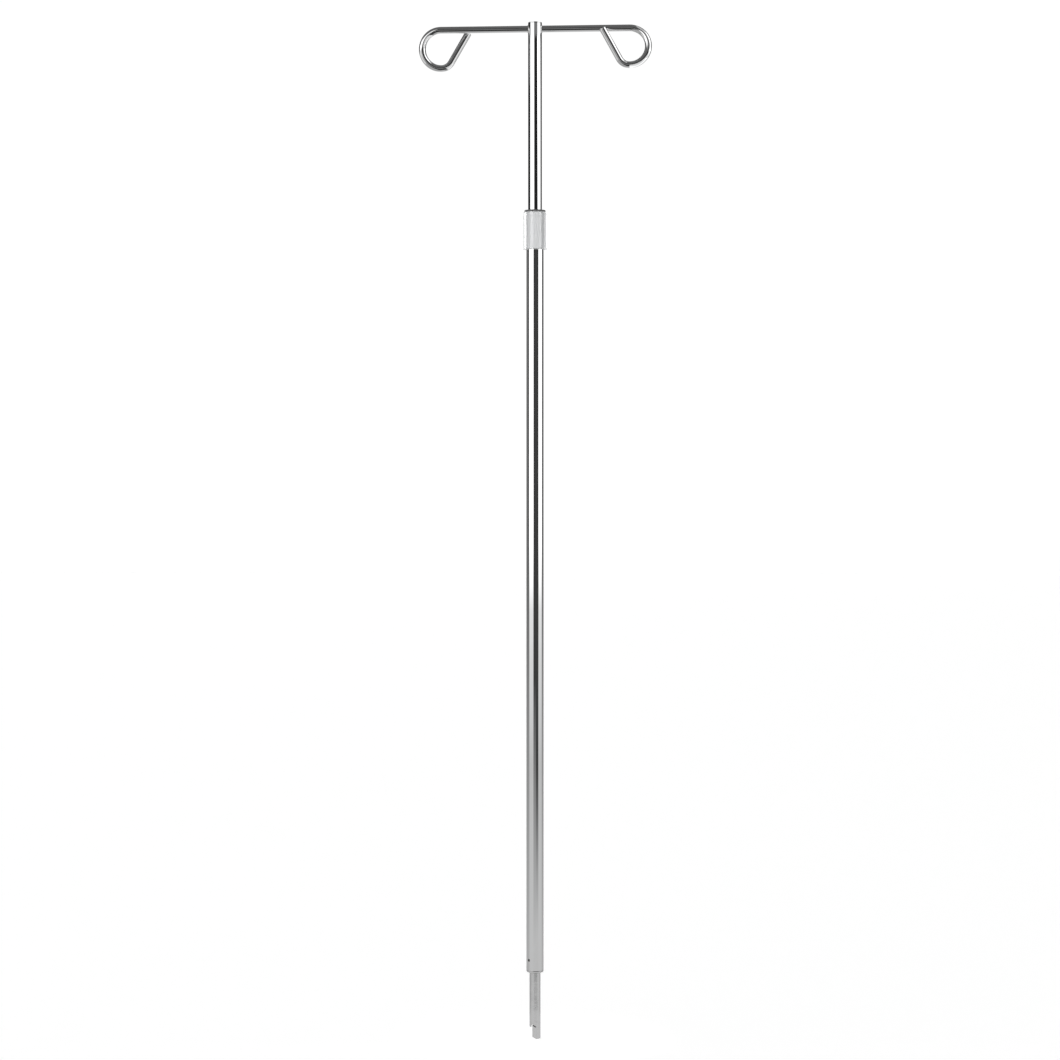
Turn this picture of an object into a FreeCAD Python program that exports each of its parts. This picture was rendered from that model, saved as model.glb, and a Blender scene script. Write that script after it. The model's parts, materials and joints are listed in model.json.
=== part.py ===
import FreeCAD, Part

import math
import os

# Telescopic drip pole that stands in a 16 mm socket on a bed, trolley or chair.  Millimetres, +Z up.
# The origin is on the pole's axis at the shoulder, the face that rests on the socket.  The hook rod
# lies along X, and the collar below it locks the upper tube at any height.

Vector = FreeCAD.Vector
AXIS = Vector(0, 0, 1)
TINY = 0.001

# lower tube and the spigot pressed into its foot
LOWER_R = 12.5
LOWER_BORE_R = 11.3
LOWER_TOP_Z = 1066.0
SHOULDER_T = 3.0
SHOULDER_ROUND = 2.8
SPIGOT_R = 8.0
SPIGOT_TIP_Z = -95.0
SPIGOT_CHAMFER = 0.3
PLUG_R = 11.28
PLUG_TOP_Z = 33.0
PLUG_CHAMFER = 1.0
ROLL_PIN_R = 2.0
ROLL_PIN_WALL = 0.7
ROLL_PIN_SLOT = 0.9
ROLL_PIN_Z = 18.5
ROLL_PIN_TURN = 41.0

# the spigot's tip: a flat-sided tongue and a round seat for the socket's cross pin
TONGUE_TURN = 22
TONGUE_FLAT_X = -1.5
TONGUE_TOP_Z = -78.0
TONGUE_CORNER = 0.3
PIN_SEAT_X = -3.7
PIN_SEAT_Z = -76.5
PIN_SEAT_R = 3.0

# upper tube, its hook rod and end plugs
UPPER_R = 10.0
UPPER_BORE_R = 9.0
UPPER_FOOT_Z = 618.0
UPPER_TOP_Z = 1367.8
TOP_CAP_T = 1.2
TOP_CAP_ROUND = 0.35
TOP_CAP_STEM = 2.4
INSERT_R = 8.98
ROD_R = 5.0
ROD_Z = 1359.8
ROD_HOLE_R = 5.05
WELD_LEG = 0.8

# each hook: a half turn outwards and down, a tighter turn inwards, and a straight leg up to the free end
LOOP_X = 136.2
LOOP_R = 27.3
RETURN_R = 16.3
RETURN_TURN = 61.0
LEG_LENGTH = 50.5
FREE_END_OFFSET = 13.0
FREE_END_ROUND = 1.5

# sliding fits inside the telescope
GUIDE_BORE_R = 10.08
GUIDE_FOOT_Z = 1036.0
GUIDE_SLEEVE_R = 11.28
GUIDE_FLANGE_T = 2.0
FOOT_BUSH_R = 11.2
FOOT_BUSH_BORE_R = 10.05
FOOT_BUSH_FOOT_Z = 618.3
FOOT_BUSH_TOP_Z = 648.0
FOOT_FLANGE_R = 10.9
FOOT_FLANGE_T = 6.0
FOOT_STEM = 22.0
STOP_R = 11.0
STOP_BORE_R = 10.02
STOP_FOOT_Z = 648.5
STOP_TOP_Z = 755.0
STOP_RIVET_R = 1.5
STOP_RIVET_ZS = (668.0, 736.0)
FOOT_PIN_R = 1.5
FOOT_PIN_Z = 632.0

# clamp head: housing on the lower tube, with a taper that wedges the balls against the upper tube
HOUSING_R = 15.8
HOUSING_FOOT_Z = 1049.5
HOUSING_TOP_Z = 1092.0
HOUSING_SEAT_R = 12.52
HOUSING_CHAMBER_R = 14.92
TAPER_FOOT_Z = 1068.0
TAPER_TOP_Z = 1079.0
TAPER_OUTER_R = 14.9
TAPER_ANGLE = 4.0
BALL_COUNT = 8
BALL_R = 1.8
BALL_ORBIT_R = 11.9
BALL_Z = 1072.0
BALL_TO_TAPER = 0.1
BALL_POCKET_R = 1.9
CAGE_BORE_R = 10.3
CAGE_R = 13.0
CAGE_FOOT_Z = 1068.6
CAGE_SHOULDER_Z = 1077.3
NECK_R = 11.5
SPRING_WIRE_R = 0.5
SPRING_R = 12.4
SPRING_HALF_TURNS = 9
SPRING_CAP_FOOT_Z = 1089.0
SPRING_CAP_BORE_R = 11.8
SPRING_CAP_FLANGE_T = 1.5
GRUB_COUNT = 3
GRUB_R = 1.5
GRUB_Z = 1057.0
GRUB_SOCKET_R = 0.87
GRUB_SOCKET_DEPTH = 1.6

# release collar: the shell that is lifted, and the rings that close it
COLLAR_R = 17.5
COLLAR_BORE_R = 16.1
COLLAR_FOOT_Z = 1042.1
COLLAR_TOP_Z = 1096.0
COLLAR_ROOF_Z = 1093.8
COLLAR_ROUND = 1.8
COLLAR_FOOT_ROUND = 0.4
BASE_RING_BORE_R = 12.8
BASE_RING_T = 1.9
CIRCLIP_Z = 1095.0
CIRCLIP_T = 0.8
CIRCLIP_R = 13.0
CIRCLIP_GROOVE_R = 11.0
CIRCLIP_RECESS_R = 13.3
CIRCLIP_GAP = 3.0
WIPER_R = 15.15
WIPER_BORE_R = 10.15
WIPER_T = 2.2
WIPER_ROUND = 0.3


def disc(radius, foot_z, top_z):
    """A solid cylinder on the pole's axis."""
    return Part.makeCylinder(radius, top_z - foot_z, Vector(0, 0, foot_z))


def ring(outer_r, bore_r, foot_z, top_z):
    """A plain sleeve on the pole's axis."""
    return disc(outer_r, foot_z, top_z).cut(disc(bore_r, foot_z, top_z))


def round_edges(shape, radius, z):
    """The circular edges of this radius round the pole's axis, at this height."""
    found = []
    for edge in shape.Edges:
        curve = edge.Curve
        if not isinstance(curve, Part.Circle):
            continue
        if abs(curve.Radius - radius) < TINY and abs(curve.Center.z - z) < TINY:
            found.append(edge)
    return found


def across(radius, from_r, to_r, z, turn):
    """A radial cylinder from one distance off the axis to another; turn is in degrees from +X."""
    way = Vector(math.cos(math.radians(turn)), math.sin(math.radians(turn)), 0)
    return Part.makeCylinder(radius, to_r - from_r, way * from_r + Vector(0, 0, z), way)


def roll_pin_direction():
    """The roll pin's near end is turned towards -X from the front of the pole, which is -Y."""
    return 270.0 - ROLL_PIN_TURN


def lower_tube():
    """Outer tube, with the roll pin's hole near its foot."""
    tube = ring(LOWER_R, LOWER_BORE_R, SHOULDER_T, LOWER_TOP_Z)
    return tube.cut(across(ROLL_PIN_R, -LOWER_R - 1, LOWER_R + 1, ROLL_PIN_Z, roll_pin_direction()))


def tongue_cut():
    """What is milled off the spigot's tip: one side down to a flat, and the round cross-pin seat."""
    size = 4 * SPIGOT_R
    side = Part.makeBox(size, size, size)
    side.translate(Vector(TONGUE_FLAT_X - size, -size / 2, TONGUE_TOP_Z - size))
    seat = Part.makeCylinder(PIN_SEAT_R, size, Vector(PIN_SEAT_X, -size / 2, PIN_SEAT_Z), Vector(0, 1, 0))
    corner = Part.makePolygon([
        Vector(TONGUE_FLAT_X, -size / 2, SPIGOT_TIP_Z + TONGUE_CORNER),
        Vector(TONGUE_FLAT_X + TONGUE_CORNER, -size / 2, SPIGOT_TIP_Z),
        Vector(TONGUE_FLAT_X, -size / 2, SPIGOT_TIP_Z),
        Vector(TONGUE_FLAT_X, -size / 2, SPIGOT_TIP_Z + TONGUE_CORNER),
    ])
    bevel = Part.Face(corner).extrude(Vector(0, size, 0))
    cut = side.fuse([seat, bevel])
    cut.rotate(Vector(0, 0, 0), AXIS, TONGUE_TURN)
    return cut


def spigot():
    """Turned foot: plug inside the tube, rounded shoulder, and the shaft that enters the socket."""
    shoulder = disc(LOWER_R, 0, SHOULDER_T)
    shoulder = shoulder.makeFillet(SHOULDER_ROUND, round_edges(shoulder, LOWER_R, 0))
    shaft = disc(SPIGOT_R, SPIGOT_TIP_Z, 0)
    shaft = shaft.makeChamfer(SPIGOT_CHAMFER, round_edges(shaft, SPIGOT_R, SPIGOT_TIP_Z))
    shaft = shaft.cut(tongue_cut())
    plug = disc(PLUG_R, SHOULDER_T, PLUG_TOP_Z)
    plug = plug.makeChamfer(PLUG_CHAMFER, round_edges(plug, PLUG_R, PLUG_TOP_Z))
    body = shoulder.fuse([shaft, plug])
    body = body.cut(across(ROLL_PIN_R, -LOWER_R, LOWER_R, ROLL_PIN_Z, roll_pin_direction()))
    return body.removeSplitter()


def spigot_roll_pin():
    """Slotted spring pin across the tube and the plug, with hollow ends that stay just below flush."""
    reach = math.sqrt(LOWER_R ** 2 - ROLL_PIN_R ** 2)
    pin = across(ROLL_PIN_R, -reach, reach, ROLL_PIN_Z, roll_pin_direction())
    pin = pin.cut(across(ROLL_PIN_R - ROLL_PIN_WALL, -reach, reach, ROLL_PIN_Z, roll_pin_direction()))
    slot = Part.makeBox(2 * reach, ROLL_PIN_SLOT, ROLL_PIN_R)
    slot.translate(Vector(-reach, -ROLL_PIN_SLOT / 2, ROLL_PIN_Z))
    slot.rotate(Vector(0, 0, 0), AXIS, roll_pin_direction())
    return pin.cut(slot)


def mast_guide_bush():
    """Flanged plastic bush in the lower tube's mouth, which the upper tube slides in."""
    sleeve = ring(GUIDE_SLEEVE_R, GUIDE_BORE_R, GUIDE_FOOT_Z, LOWER_TOP_Z)
    flange = ring(LOWER_R, GUIDE_BORE_R, LOWER_TOP_Z, LOWER_TOP_Z + GUIDE_FLANGE_T)
    return sleeve.fuse(flange).removeSplitter()


def grub_turns():
    """Directions of the housing's grub screws, evenly spaced."""
    return [360.0 * i / GRUB_COUNT for i in range(GRUB_COUNT)]


def head_housing():
    """Clamp housing: a socket for the lower tube, then a wider chamber for the taper and the spring."""
    body = disc(HOUSING_R, HOUSING_FOOT_Z, HOUSING_TOP_Z)
    body = body.cut(disc(HOUSING_SEAT_R, HOUSING_FOOT_Z, TAPER_FOOT_Z))
    body = body.cut(disc(HOUSING_CHAMBER_R, TAPER_FOOT_Z, HOUSING_TOP_Z))
    for turn in grub_turns():
        body = body.cut(across(GRUB_R, LOWER_R, HOUSING_R + 1, GRUB_Z, turn))
    return body


def housing_grub_screws():
    """Grub screws that hold the housing on the lower tube, each with a hexagon socket."""
    screws = []
    for turn in grub_turns():
        screw = across(GRUB_R - 0.02, LOWER_R + 0.02, HOUSING_R - 0.1, GRUB_Z, turn)
        corners = []
        for i in range(7):
            angle = math.radians(60.0 * i)
            corners.append(Vector(HOUSING_R, GRUB_SOCKET_R * math.cos(angle), GRUB_SOCKET_R * math.sin(angle)))
        socket = Part.Face(Part.makePolygon(corners)).extrude(Vector(-GRUB_SOCKET_DEPTH, 0, 0))
        socket.translate(Vector(0, 0, GRUB_Z))
        socket.rotate(Vector(0, 0, 0), AXIS, turn)
        screws.append(screw.cut(socket))
    return Part.Compound(screws)


def taper_r(z):
    """Radius of the clamp's cone at a height, set by the balls' clearance at rest."""
    return BALL_ORBIT_R + BALL_R + BALL_TO_TAPER + (z - BALL_Z) * math.tan(math.radians(TAPER_ANGLE))


def taper_ring():
    """Hardened ring in the housing, with a cone that narrows downwards."""
    body = disc(TAPER_OUTER_R, TAPER_FOOT_Z, TAPER_TOP_Z)
    height = TAPER_TOP_Z - TAPER_FOOT_Z
    cone = Part.makeCone(taper_r(TAPER_FOOT_Z), taper_r(TAPER_TOP_Z), height, Vector(0, 0, TAPER_FOOT_Z))
    return body.cut(cone)


def ball_turns():
    """Directions of the clamp's balls, evenly spaced."""
    return [360.0 * i / BALL_COUNT for i in range(BALL_COUNT)]


def ball_cage():
    """Cage that carries the balls, with the neck that the collar lifts it by."""
    cage = ring(CAGE_R, CAGE_BORE_R, CAGE_FOOT_Z, CAGE_SHOULDER_Z)
    neck = ring(NECK_R, CAGE_BORE_R, CAGE_SHOULDER_Z, COLLAR_TOP_Z)
    groove = ring(NECK_R + 1, CIRCLIP_GROOVE_R, CIRCLIP_Z, CIRCLIP_Z + CIRCLIP_T)
    body = cage.fuse(neck).cut(groove)
    for turn in ball_turns():
        body = body.cut(across(BALL_POCKET_R, CAGE_BORE_R - 1, CAGE_R + 1, BALL_Z, turn))
    return body.removeSplitter()


def clamp_balls():
    """Steel balls between the upper tube and the taper."""
    balls = []
    for turn in ball_turns():
        ball = Part.makeSphere(BALL_R, Vector(BALL_ORBIT_R, 0, BALL_Z))
        ball.rotate(Vector(0, 0, 0), AXIS, turn)
        balls.append(ball)
    return Part.Compound(balls)


def clamp_spring():
    """Compression spring that pushes the cage down into the taper, as tilted half turns end to end."""
    rise = (SPRING_CAP_FOOT_Z - CAGE_SHOULDER_Z - 2 * SPRING_WIRE_R) / SPRING_HALF_TURNS
    halves = []
    for i in range(SPRING_HALF_TURNS):
        side = 1 if i % 2 == 0 else -1
        start = Vector(side * SPRING_R, 0, CAGE_SHOULDER_Z + SPRING_WIRE_R + rise * i)
        centre = Vector(0, 0, start.z + rise / 2)
        section = Part.Face(Part.Wire(Part.makeCircle(SPRING_WIRE_R, start, Vector(0, 1, 0))))
        axis = (start - centre).cross(Vector(0, side, 0))
        halves.append(section.revolve(centre, axis, 180))
    return halves[0].multiFuse(halves[1:])


def spring_cap():
    """Flanged ring that closes the housing and holds the spring down."""
    plug = ring(HOUSING_CHAMBER_R - 0.02, SPRING_CAP_BORE_R, SPRING_CAP_FOOT_Z, HOUSING_TOP_Z)
    flange = ring(HOUSING_R, SPRING_CAP_BORE_R, HOUSING_TOP_Z, HOUSING_TOP_Z + SPRING_CAP_FLANGE_T)
    return plug.fuse(flange).removeSplitter()


def release_collar():
    """Moulded shell round the clamp head, open below, with a roof that sits on the cage's neck."""
    body = disc(COLLAR_R, COLLAR_FOOT_Z, COLLAR_TOP_Z)
    body = body.makeFillet(COLLAR_ROUND, round_edges(body, COLLAR_R, COLLAR_TOP_Z))
    body = body.makeFillet(COLLAR_FOOT_ROUND, round_edges(body, COLLAR_R, COLLAR_FOOT_Z))
    body = body.cut(disc(COLLAR_BORE_R, COLLAR_FOOT_Z, COLLAR_ROOF_Z))
    body = body.cut(disc(NECK_R + 0.02, COLLAR_ROOF_Z, COLLAR_TOP_Z))
    return body.cut(disc(CIRCLIP_RECESS_R, CIRCLIP_Z, COLLAR_TOP_Z))


def collar_base_ring():
    """Ring pressed into the collar's foot, which runs clear round the lower tube."""
    return ring(COLLAR_BORE_R - 0.02, BASE_RING_BORE_R, COLLAR_FOOT_Z, COLLAR_FOOT_Z + BASE_RING_T)


def collar_circlip():
    """Snap ring in the neck's groove, above the collar's roof."""
    clip = ring(CIRCLIP_R, CIRCLIP_GROOVE_R + 0.02, CIRCLIP_Z + 0.02, CIRCLIP_Z + CIRCLIP_T - 0.02)
    gap = Part.makeBox(2 * CIRCLIP_R, CIRCLIP_GAP, 4 * CIRCLIP_T)
    gap.translate(Vector(0, -CIRCLIP_GAP / 2, CIRCLIP_Z - CIRCLIP_T))
    return clip.cut(gap)


def wiper_ring():
    """Dark wiper on top of the collar, round the upper tube."""
    top_z = COLLAR_TOP_Z + WIPER_T
    body = disc(WIPER_R, COLLAR_TOP_Z, top_z)
    body = body.makeFillet(WIPER_ROUND, round_edges(body, WIPER_R, top_z))
    return body.cut(disc(WIPER_BORE_R, COLLAR_TOP_Z, top_z))


def foot_bush():
    """Bush on the upper tube's foot: it slides in the lower tube, and the upper tube turns in it."""
    return ring(FOOT_BUSH_R, FOOT_BUSH_BORE_R, FOOT_BUSH_FOOT_Z, FOOT_BUSH_TOP_Z)


def upper_tube():
    """Inner tube, with cross holes for the hook rod, the stop's rivets and the foot plug's pin."""
    tube = ring(UPPER_R, UPPER_BORE_R, UPPER_FOOT_Z, UPPER_TOP_Z)
    tube = tube.cut(across(ROD_HOLE_R, -UPPER_R - 1, UPPER_R + 1, ROD_Z, 0))
    tube = tube.cut(across(FOOT_PIN_R, -UPPER_R - 1, UPPER_R + 1, FOOT_PIN_Z, 90))
    for z in STOP_RIVET_ZS:
        tube = tube.cut(across(STOP_RIVET_R, -UPPER_R - 1, UPPER_R + 1, z, 0))
    return tube


def rod_run(start, way, length):
    """A straight stretch of the hook rod."""
    return Part.makeCylinder(ROD_R, length, start, way)


def rod_bend(start, way, centre, turn):
    """A bent stretch: the rod's section at start, heading along way, swung about the bend's centre."""
    hinge = way.cross(centre - start)
    section = Part.Face(Part.Wire(Part.makeCircle(ROD_R, start, way)))
    return section.revolve(centre, hinge, turn)


def hook(side):
    """One hook beyond the straight bar, on the +X (1) or the -X (-1) side.

    Going down, the rod leans to one side of the bar, and going up again it leans as much further, so that
    its free end passes beside the bar.  Both planes hold the X direction, so the bends stay tangent.
    """
    turn = math.radians(RETURN_TURN)
    climb = 2 * LOOP_R + RETURN_R * (1 - math.cos(turn)) + LEG_LENGTH * math.sin(turn)
    lean = math.asin(FREE_END_OFFSET / climb)
    out = Vector(side, 0, 0)
    down = Vector(0, -side * math.sin(lean), -math.cos(lean))
    up = Vector(0, -side * math.sin(lean), math.cos(lean))
    bar_end = Vector(side * LOOP_X, 0, ROD_Z)
    bottom = bar_end + down * (2 * LOOP_R)
    return_end = bottom + up * (RETURN_R * (1 - math.cos(turn))) - out * (RETURN_R * math.sin(turn))
    leg_way = up * math.sin(turn) - out * math.cos(turn)
    loop = rod_bend(bar_end, out, bar_end + down * LOOP_R, 180.0)
    tight = rod_bend(bottom, out * -1, bottom + up * RETURN_R, RETURN_TURN)
    leg = rod_run(return_end, leg_way, LEG_LENGTH)
    tip = return_end + leg_way * LEG_LENGTH
    rim = [edge for edge in leg.Edges
           if isinstance(edge.Curve, Part.Circle) and edge.Curve.Center.distanceToPoint(tip) < TINY]
    return [loop, tight, leg.makeFillet(FREE_END_ROUND, rim)]


def hook_bar():
    """The bent rod: a straight bar through the upper tube, and a hook at each end."""
    bar = rod_run(Vector(-LOOP_X, 0, ROD_Z), Vector(1, 0, 0), 2 * LOOP_X)
    return bar.fuse(hook(1) + hook(-1)).removeSplitter()


def hook_welds():
    """A weld bead round the rod at each side of the upper tube."""
    beads = []
    for side in (1, -1):
        collar = across(ROD_R + WELD_LEG, 0, UPPER_R + WELD_LEG, ROD_Z, 0 if side > 0 else 180)
        collar = collar.cut(across(ROD_R, 0, UPPER_R + WELD_LEG, ROD_Z, 0 if side > 0 else 180))
        rind = ring(UPPER_R + WELD_LEG, UPPER_R, ROD_Z - 2 * ROD_R, ROD_Z + 2 * ROD_R)
        beads.append(collar.common(rind))
    return Part.Compound(beads)


def top_plug():
    """Cap pressed into the upper tube's open end, with a rounded rim flush with the tube."""
    top_z = UPPER_TOP_Z + TOP_CAP_T
    cap = disc(UPPER_R, UPPER_TOP_Z, top_z)
    cap = cap.makeFillet(TOP_CAP_ROUND, round_edges(cap, UPPER_R, top_z))
    stem = disc(INSERT_R, UPPER_TOP_Z - TOP_CAP_STEM, UPPER_TOP_Z)
    return cap.fuse(stem).removeSplitter()


def foot_plug():
    """Plug in the upper tube's foot, whose flange keeps the foot bush on."""
    flange_foot_z = UPPER_FOOT_Z - FOOT_FLANGE_T
    flange = disc(FOOT_FLANGE_R, flange_foot_z, UPPER_FOOT_Z)
    flange = flange.makeChamfer(1.5, round_edges(flange, FOOT_FLANGE_R, flange_foot_z))
    stem = disc(INSERT_R, UPPER_FOOT_Z, UPPER_FOOT_Z + FOOT_STEM)
    body = flange.fuse(stem)
    return body.cut(across(FOOT_PIN_R, -UPPER_R, UPPER_R, FOOT_PIN_Z, 90)).removeSplitter()


def foot_plug_pin():
    """Cross pin that holds the foot plug in the upper tube, ending inside the tube's surface."""
    reach = math.sqrt(UPPER_R ** 2 - FOOT_PIN_R ** 2)
    return across(FOOT_PIN_R, -reach, reach, FOOT_PIN_Z, 90)


def stop_sleeve():
    """Sleeve on the upper tube that meets the guide bush at full height."""
    sleeve = ring(STOP_R, STOP_BORE_R, STOP_FOOT_Z, STOP_TOP_Z)
    for z in STOP_RIVET_ZS:
        sleeve = sleeve.cut(across(STOP_RIVET_R, -STOP_R - 1, STOP_R + 1, z, 0))
    return sleeve


def stop_rivets():
    """Rivets that fix the stop sleeve, two at each height, ending inside its surface."""
    reach = math.sqrt(STOP_R ** 2 - STOP_RIVET_R ** 2)
    inside = UPPER_BORE_R - 0.5
    rivets = []
    for z in STOP_RIVET_ZS:
        for turn in (0, 180):
            rivets.append(across(STOP_RIVET_R, inside, reach, z, turn))
    return Part.Compound(rivets)


NODES = {
    "lower_tube": lower_tube,
    "spigot": spigot,
    "spigot_roll_pin": spigot_roll_pin,
    "mast_guide_bush": mast_guide_bush,
    "head_housing": head_housing,
    "housing_grub_screws": housing_grub_screws,
    "taper_ring": taper_ring,
    "clamp_spring": clamp_spring,
    "spring_cap": spring_cap,
    "ball_cage": ball_cage,
    "clamp_balls": clamp_balls,
    "release_collar": release_collar,
    "collar_base_ring": collar_base_ring,
    "collar_circlip": collar_circlip,
    "wiper_ring": wiper_ring,
    "foot_bush": foot_bush,
    "upper_tube": upper_tube,
    "hook_bar": hook_bar,
    "hook_welds": hook_welds,
    "top_plug": top_plug,
    "foot_plug": foot_plug,
    "foot_plug_pin": foot_plug_pin,
    "stop_sleeve": stop_sleeve,
    "stop_rivets": stop_rivets,
}

os.makedirs("parts", exist_ok=True)
for name, make in NODES.items():
    shape = make()
    print(f"{name}: {len(shape.Solids)} solids, valid {shape.isValid()}, {shape.Volume:.1f} mm3")
    shape.exportStep(f"parts/{name}.step")
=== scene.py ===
import json
import math

import bmesh
import bpy
from mathutils import Matrix, Vector


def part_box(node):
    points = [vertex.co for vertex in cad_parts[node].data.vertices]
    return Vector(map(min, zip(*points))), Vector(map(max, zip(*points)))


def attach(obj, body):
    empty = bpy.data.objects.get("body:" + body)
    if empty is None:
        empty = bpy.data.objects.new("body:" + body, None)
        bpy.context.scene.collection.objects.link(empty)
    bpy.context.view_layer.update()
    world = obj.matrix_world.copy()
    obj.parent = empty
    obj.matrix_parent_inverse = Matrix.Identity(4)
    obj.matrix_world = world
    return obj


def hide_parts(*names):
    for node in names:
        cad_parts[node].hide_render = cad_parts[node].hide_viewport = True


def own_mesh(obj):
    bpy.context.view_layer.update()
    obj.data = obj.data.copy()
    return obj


# Looks for the telescopic drip pole.  Metres, +Z up, in the CAD frame: the origin is at the spigot's
# shoulder, the hook rod lies along X and the front of the pole is -Y.

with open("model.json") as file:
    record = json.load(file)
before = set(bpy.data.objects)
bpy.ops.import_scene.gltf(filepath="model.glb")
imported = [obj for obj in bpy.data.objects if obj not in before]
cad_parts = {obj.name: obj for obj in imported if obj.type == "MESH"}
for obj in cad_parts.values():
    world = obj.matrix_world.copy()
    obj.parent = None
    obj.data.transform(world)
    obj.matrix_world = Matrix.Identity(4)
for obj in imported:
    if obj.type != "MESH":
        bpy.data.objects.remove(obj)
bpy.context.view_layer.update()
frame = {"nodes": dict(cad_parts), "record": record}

MM = 0.001
MICRON = 0.000001
ROUND_STEPS = 128               # vertices round a turned piece
ARC_STEP = math.radians(15)     # the widest step of a rounded corner
SUPPORT = 0.3 * MM              # how far from a corner the ring that holds its shading lies
SHARP = math.radians(32)        # a sharper crease than this stays an edge
SAME = 1e-7                     # two sizes closer than this are equal

# sizes read from the frame
LOWER_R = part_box("lower_tube")[1].x
LOWER_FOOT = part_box("lower_tube")[0].z
LOWER_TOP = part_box("lower_tube")[1].z
UPPER_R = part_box("upper_tube")[1].x
UPPER_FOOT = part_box("upper_tube")[0].z
UPPER_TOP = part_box("upper_tube")[1].z
CAP_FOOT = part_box("top_plug")[0].z
CAP_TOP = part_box("top_plug")[1].z
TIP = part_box("spigot")[0].z
PLUG_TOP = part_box("spigot")[1].z
COLLAR_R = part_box("release_collar")[1].x
COLLAR_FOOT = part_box("release_collar")[0].z
COLLAR_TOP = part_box("release_collar")[1].z
WIPER_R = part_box("wiper_ring")[1].x
WIPER_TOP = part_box("wiper_ring")[1].z
BASE_RING_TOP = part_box("collar_base_ring")[1].z
ROD_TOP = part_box("hook_bar")[1].z
ROD_END_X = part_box("hook_bar")[1].x
SPRING_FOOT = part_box("clamp_spring")[0].z
SPRING_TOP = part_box("clamp_spring")[1].z
MOUNTS = {m["name"]: m for m in frame["record"]["mounts"]}
SPIGOT_R = MOUNTS["spigot"]["dims"]["r_mm"] * MM

# sizes that the frame's boxes don't give
LOWER_WALL = 1.2 * MM
UPPER_WALL = 1.0 * MM
EDGE = 0.25 * MM
PUSH_FIT = 0.02 * MM
SHOULDER_ROUND = 2.8 * MM
SPIGOT_FILLET = 0.4 * MM
SPIGOT_CHAMFER = 0.3 * MM
SPIGOT_STEPS = 96
TONGUE_TURN = math.radians(22)
TONGUE_FLAT_X = -1.5 * MM
TONGUE_TOP = -78.0 * MM
TONGUE_CORNER = 0.3 * MM
MILLED_EDGE = 0.18 * MM
MILLED_RINGS_TOP = -66.0 * MM
MILLED_RING_STEP = 1.0 * MM
MILLED_RINGS = 28
PIN_SEAT_X = -3.7 * MM
PIN_SEAT_Z = -76.5 * MM
PIN_SEAT_R = 3.0 * MM
PIN_SEAT_STEPS = 40
ROLL_PIN_R = 2.0 * MM
ROLL_PIN_WALL = 0.7 * MM
ROLL_PIN_SLOT = 0.9 * MM
ROLL_PIN_EASE = 0.2 * MM
ROLL_PIN_FIT = 0.01 * MM
ROLL_PIN_STEPS = 40
ROLL_PIN_Z = 18.5 * MM
ROLL_PIN_TURN = math.radians(270 - 41)      # 41 degrees to the left of the front
CAP_ROUND = 0.35 * MM
COLLAR_WALL = 1.4 * MM
COLLAR_ROOF = 2.2 * MM
COLLAR_ROUND = 1.8 * MM
COLLAR_NECK_R = 11.52 * MM
COLLAR_STEPS = 160
CLIP_RECESS_R = 13.3 * MM
CLIP_RECESS = 1.0 * MM
BASE_RING_BORE_R = 12.8 * MM
WIPER_BORE_R = 10.15 * MM
WIPER_MOUTH_R = 11.4 * MM
WIPER_MOUTH_DEPTH = 0.7 * MM
ROD_R = 5.0 * MM
ROD_HOLE_R = ROD_R + 0.05 * MM
ROD_STEPS = 64
LOOP_STEPS = 90
RETURN_STEPS = 40
END_STEPS = 8
LOOP_R = 27.3 * MM
RETURN_R = 16.3 * MM
RETURN_TURN = math.radians(61)
LEG_LENGTH = 50.5 * MM
FREE_END_OFFSET = 13.0 * MM
FREE_END_ROUND = 1.5 * MM
WELD_LEG = 0.8 * MM
WELD_ROOT = 0.05 * MM
WELD_RIPPLES = 38
WELD_STEPS = 304
WELD_SECTION = 9
SPRING_WIRE_R = 0.5 * MM
SPRING_R = 12.4 * MM
SPRING_HALF_TURNS = 9
HALF_TURN_STEPS = 40
WIRE_STEPS = 16
ROD_Z = ROD_TOP - ROD_R
LOOP_X = ROD_END_X - LOOP_R - ROD_R

# the camera stands square to the pole, level, a little to the right of its front
CAMERA_TURN = math.radians(3.7)
CAMERA_DISTANCE = 3.7
CAMERA_HEIGHT = 0.6375
CAMERA_ASIDE = -7.2 * MM
CAMERA_LENS = 87.15
CAMERA_SENSOR = 36.0
CAMERA_REACH = 200.0

# the studio: levels are radiances, angles are degrees from the front, to the right and upwards
BACKDROP = 1.02
TENT_STEP = (6.2, 6.8)          # the front gap narrows and darkens over these heights
TENT_BAND = (10.85, 10.95)      # above these the walls are dimmer and the gap is lighter
RIGHT_WALL = (30.0, 102.0)
CARPET_TOP = -12.0
CARPET_SECTOR = (-28.0, 62.0)   # the part of the carpet that is dark
CARPET_LEVEL = 0.45
ROOF_LEVEL = 0.14
WINDOW_EDGE = 163.0
WINDOW_HEIGHTS = (-60.0, 50.0)
WINDOW_LEVEL = 0.9
FLOOR_REACH = 40.0
FLOOR_Z = TIP - 1.0 * MM
FLOOR_GLOW = 0.66
FLOOR_CARD_R = 0.2
FLOOR_CARD_Z = TIP - 0.8 * MM

# gloss panels round the collar: from and to, in degrees from the camera's side of the pole, and radiance
PANEL_DISTANCE = 1.6
PANEL_HEIGHT = 2.1
PANEL_Z = COLLAR_TOP - 0.22
PANELS = (
    (-165.0, -120.0, 2.0),
    (-120.0, -88.0, 8.5),
    (-70.0, -46.0, 2.0),
    (-46.0, -14.0, 5.5),
    (-14.0, 62.0, 4.6),
    (97.0, 165.0, 3.0),
)

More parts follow.
